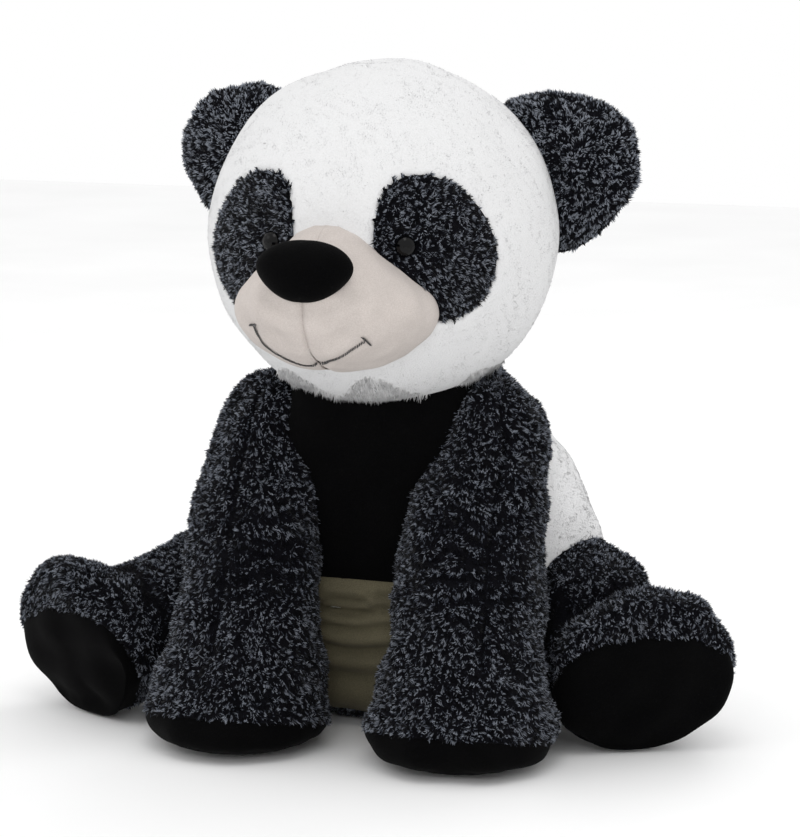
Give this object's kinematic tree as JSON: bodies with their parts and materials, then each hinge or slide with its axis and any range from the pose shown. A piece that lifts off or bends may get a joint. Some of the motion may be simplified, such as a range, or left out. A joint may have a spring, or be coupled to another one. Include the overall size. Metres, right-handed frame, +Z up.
{
  "type": "plush panda",
  "caption": "Seated plush panda with heather charcoal limbs, ears and eye patches, a white head and back, a cream muzzle and belly, and soles and chest in black velour.",
  "frame": {"origin": "on the floor, on the flat of the seat under the torso", "axes": "+Z up, the face looks along -Y, the panda's left side is +X"},
  "size_m": [0.638, 0.5028, 0.581],
  "materials": {
    "charcoal_plush": "brushed heather plush, near-black with pale blue-grey fibre tips",
    "white_plush": "short brushed white plush",
    "black_velour": "matt black short-nap velour",
    "cream_velour": "cream short-nap velour",
    "fibre_fill": "loose white polyester fibre fill",
    "pellet_bag_cloth": "plain unbleached cloth bag",
    "eye_plastic": "polished black moulded plastic",
    "washer_plastic": "natural moulded plastic",
    "mouth_thread": "black embroidery thread"
  },
  "bodies": {
    "torso": {"chest_panel": "black_velour", "belly_panel": "cream_velour", "yoke_panel": "charcoal_plush", "back_panel": "white_plush", "seat_panel": "charcoal_plush", "torso_stuffing": "fibre_fill", "seat_pellet_bag": "pellet_bag_cloth", "tail_cover": "white_plush", "tail_stuffing": "fibre_fill"},
    "neck": {"neck_stuffing": "fibre_fill"},
    "head": {"face_panel": "white_plush", "head_back_panel": "white_plush", "head_stuffing": "fibre_fill", "eye_patch_left": "charcoal_plush", "eye_patch_right": "charcoal_plush", "eye_left": "eye_plastic", "eye_right": "eye_plastic", "eye_washer_left": "washer_plastic", "eye_washer_right": "washer_plastic", "muzzle_panel_left": "cream_velour", "muzzle_panel_right": "cream_velour", "muzzle_stuffing": "fibre_fill", "nose_cover": "black_velour", "nose_stuffing": "fibre_fill", "mouth_stitching": "mouth_thread"},
    "ear_left": {"ear_front_left": "charcoal_plush", "ear_back_left": "charcoal_plush", "ear_stuffing_left": "fibre_fill"},
    "ear_right": {"ear_front_right": "charcoal_plush", "ear_back_right": "charcoal_plush", "ear_stuffing_right": "fibre_fill"},
    "arm_left": {"arm_cover_left": "charcoal_plush", "arm_stuffing_left": "fibre_fill", "paw_pad_left": "black_velour"},
    "arm_right": {"arm_cover_right": "charcoal_plush", "arm_stuffing_right": "fibre_fill", "paw_pad_right": "black_velour"},
    "leg_left": {"leg_cover_left": "charcoal_plush", "leg_stuffing_left": "fibre_fill", "sole_pad_left": "black_velour"},
    "leg_right": {"leg_cover_right": "charcoal_plush", "leg_stuffing_right": "fibre_fill", "sole_pad_right": "black_velour"}
  },
  "joints": [
    {"name": "neck_turn", "type": "hinge", "parent": "torso", "child": "neck", "pos_m": [0, -0.085, 0.35], "axis": [0, 0, 1], "range_deg": [-20, 20]},
    {"name": "head_nod", "type": "hinge", "parent": "neck", "child": "head", "pos_m": [0, -0.085, 0.35], "axis": [1, 0, 0], "range_deg": [-8, 8]},
    {"name": "ear_left_fold", "type": "hinge", "parent": "head", "child": "ear_left", "pos_m": [0.12162, -0.02568, 0.48222], "axis": [-0.3527, 0.0045, 0.9357], "range_deg": [-15, 15], "stiffness_Nm_per_rad": 0.3},
    {"name": "ear_right_fold", "type": "hinge", "parent": "head", "child": "ear_right", "pos_m": [-0.12162, -0.02568, 0.48222], "axis": [0.3527, 0.0045, 0.9357], "range_deg": [-15, 15], "stiffness_Nm_per_rad": 0.3},
    {"name": "shoulder_left", "type": "hinge", "parent": "torso", "child": "arm_left", "pos_m": [0.102, -0.088, 0.262], "axis": [-1, 0, 0], "range_deg": [0, 50]},
    {"name": "shoulder_right", "type": "hinge", "parent": "torso", "child": "arm_right", "pos_m": [-0.102, -0.088, 0.262], "axis": [-1, 0, 0], "range_deg": [0, 50]},
    {"name": "hip_left", "type": "hinge", "parent": "torso", "child": "leg_left", "pos_m": [0.118, -0.004, 0.086], "axis": [-0.6112, -0.7915, 0], "range_deg": [0, 16]},
    {"name": "hip_right", "type": "hinge", "parent": "torso", "child": "leg_right", "pos_m": [-0.118, -0.004, 0.086], "axis": [-0.6112, 0.7915, 0], "range_deg": [0, 16]}
  ]
}
